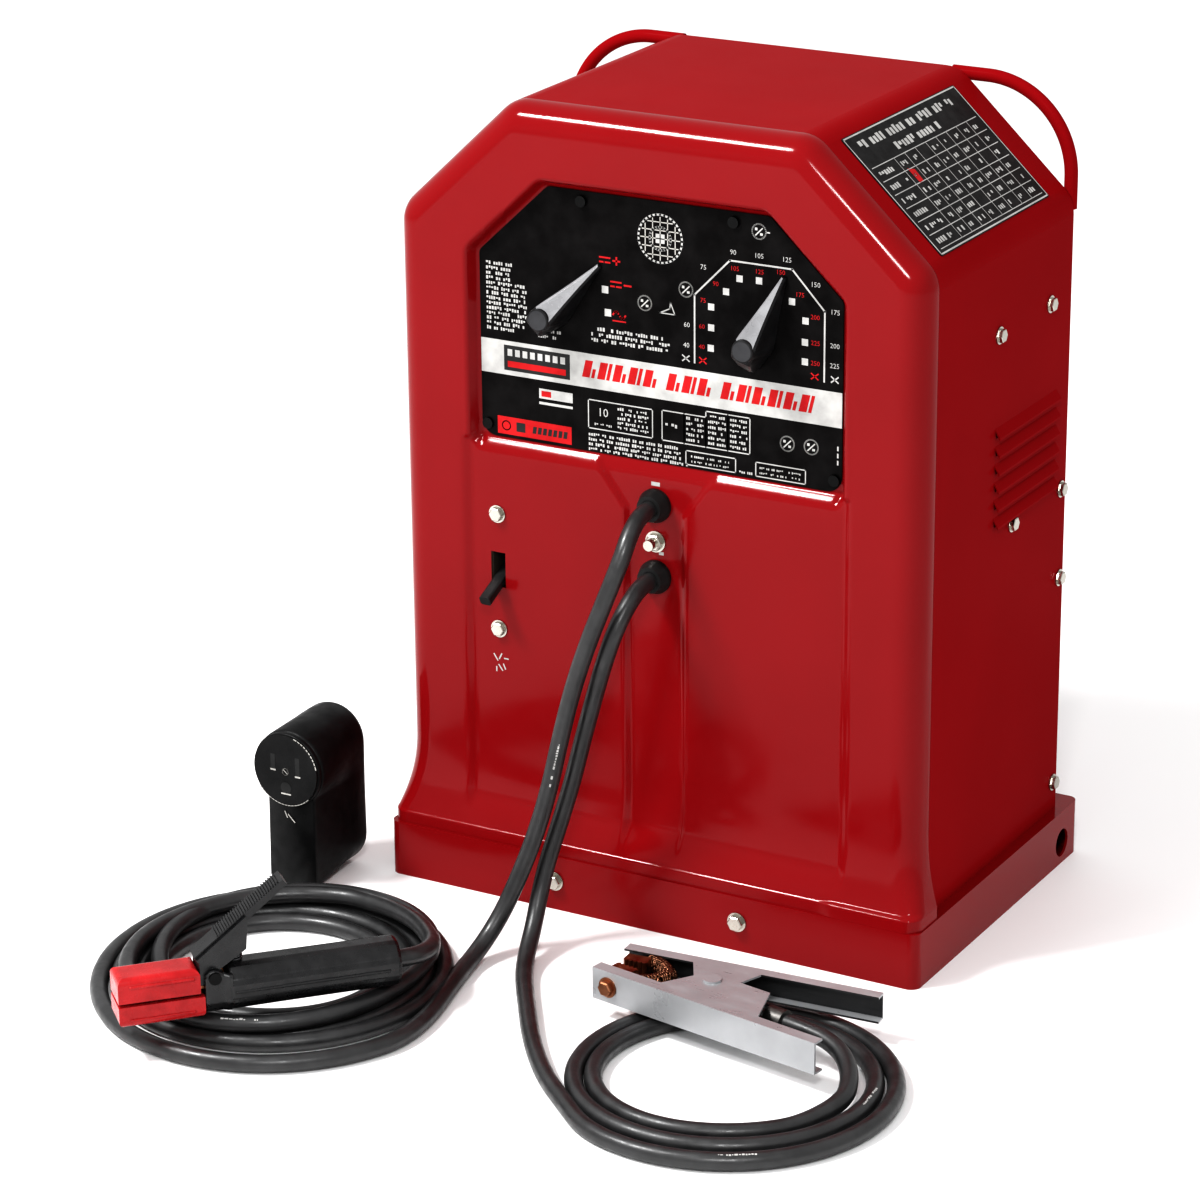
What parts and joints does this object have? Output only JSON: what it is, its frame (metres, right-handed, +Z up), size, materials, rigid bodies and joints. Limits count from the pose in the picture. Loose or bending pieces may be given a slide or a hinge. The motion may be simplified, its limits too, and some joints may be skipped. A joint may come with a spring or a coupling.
{
  "type": "stick welder",
  "caption": "Upright stick welder: sloped-shoulder sheet-steel cabinet, two turning selectors, a line toggle and coiled leads to an electrode holder and a spring work clamp.",
  "frame": {"origin": "middle of the cabinet's underside, on the floor it stands on", "axes": "+Z up, -Y out of the front panel, +X to the right of someone facing the front"},
  "size_m": [0.6335, 0.6578, 0.61],
  "materials": {
    "cabinet_paint": "gloss red enamel on sheet steel",
    "nameplate": "screen-printed black and white plate",
    "rating_label": "black self-adhesive label",
    "black_screw": "black oxide screws",
    "zinc": "zinc-plated steel",
    "black_plastic": "black moulded plastic",
    "switch_plastic": "brown-black phenolic",
    "knob_plastic": "black moulded knob",
    "shaft_steel": "turned steel",
    "core_steel": "stacked steel laminations",
    "winding": "varnished copper wire",
    "inner_steel": "galvanised sheet",
    "heat_sink": "plain aluminium",
    "motor_steel": "black motor shell",
    "receptacle_black": "black moulded plastic",
    "holder_black": "black glass-filled moulding",
    "holder_red": "red glass-filled moulding",
    "copper": "copper alloy",
    "spring_steel": "oiled spring wire",
    "clamp_zinc": "bright zinc-plated steel",
    "lead_rubber": "black rubber welding cable"
  },
  "bodies": {
    "cabinet": {"base_pan": "cabinet_paint", "cabinet_screws": "zinc", "choke_core": "core_steel", "choke_winding": "winding", "clamp_cable_lug": "copper", "clamp_near_arm": "clamp_zinc", "clamp_near_jaw": "copper", "clamp_rivet": "clamp_zinc", "clamp_shunt": "copper", "clamp_spring": "spring_steel", "control_nameplate": "nameplate", "current_switch_body": "switch_plastic", "electrode_lead": "lead_rubber", "electrode_lead_coil": "lead_rubber", "electrode_lead_grommet": "black_plastic", "electrode_lead_tail": "lead_rubber", "fan_bracket": "inner_steel", "fan_motor": "motor_steel", "front_case": "cabinet_paint", "ground_stud": "zinc", "holder_handle": "holder_black", "holder_lower_jaw_cover": "holder_red", "holder_pivot_pin": "zinc", "holder_shank": "copper", "holder_spring": "spring_steel", "inner_shelf": "inner_steel", "lift_handle_left": "cabinet_paint", "lift_handle_right": "cabinet_paint", "line_switch_body": "switch_plastic", "line_switch_screws": "zinc", "mode_switch_body": "switch_plastic", "nameplate_screws": "black_screw", "power_cord_gland": "black_plastic", "primary_winding": "winding", "rating_plate": "rating_label", "rear_panel": "cabinet_paint", "receptacle_body": "receptacle_black", "receptacle_face": "receptacle_black", "rectifier_mount": "inner_steel", "rectifier_plates": "heat_sink", "secondary_winding": "winding", "transformer_core": "core_steel", "work_lead": "lead_rubber", "work_lead_coil": "lead_rubber", "work_lead_grommet": "black_plastic", "work_lead_tail": "lead_rubber", "wrap_cover": "cabinet_paint"},
    "mode_selector": {"mode_knob": "knob_plastic", "mode_shaft": "shaft_steel"},
    "current_selector": {"current_knob": "knob_plastic", "current_shaft": "shaft_steel"},
    "switch_lever": {"line_switch_toggle": "black_plastic"},
    "fan_rotor": {"fan_blade": "heat_sink"},
    "holder_jaw": {"holder_upper_jaw": "copper", "holder_upper_jaw_cover": "holder_red", "holder_lever": "holder_black"},
    "clamp_jaw": {"clamp_far_arm": "clamp_zinc", "clamp_far_jaw": "copper"}
  },
  "joints": [
    {"name": "mode_selector_turn", "type": "hinge", "parent": "cabinet", "child": "mode_selector", "pos_m": [-0.082, -0.12, 0.46], "axis": [0, -1, 0], "range_deg": [-42, 0]},
    {"name": "current_selector_turn", "type": "hinge", "parent": "cabinet", "child": "current_selector", "pos_m": [0.082, -0.12, 0.46], "axis": [0, -1, 0], "range_deg": [-84, 126]},
    {"name": "line_switch_rock", "type": "hinge", "parent": "cabinet", "child": "switch_lever", "pos_m": [-0.131, -0.108, 0.2565], "axis": [-1, 0, 0], "range_deg": [0, 50]},
    {"name": "fan_spin", "type": "hinge", "parent": "cabinet", "child": "fan_rotor", "pos_m": [-0.03, 0.093, 0.33], "axis": [0, 1, 0], "continuous": true},
    {"name": "holder_jaw_open", "type": "hinge", "parent": "cabinet", "child": "holder_jaw", "pos_m": [-0.17441, -0.45361, 0.057], "axis": [-0.7314, 0.682, 0], "range_deg": [0, 15], "stiffness_Nm_per_rad": 1.5, "springref_deg": -17.19},
    {"name": "clamp_open", "type": "hinge", "parent": "cabinet", "child": "clamp_jaw", "pos_m": [0.124, -0.271, 0.028], "axis": [0, 0, -1], "range_deg": [0, 20], "stiffness_Nm_per_rad": 2, "springref_deg": -20.05}
  ]
}
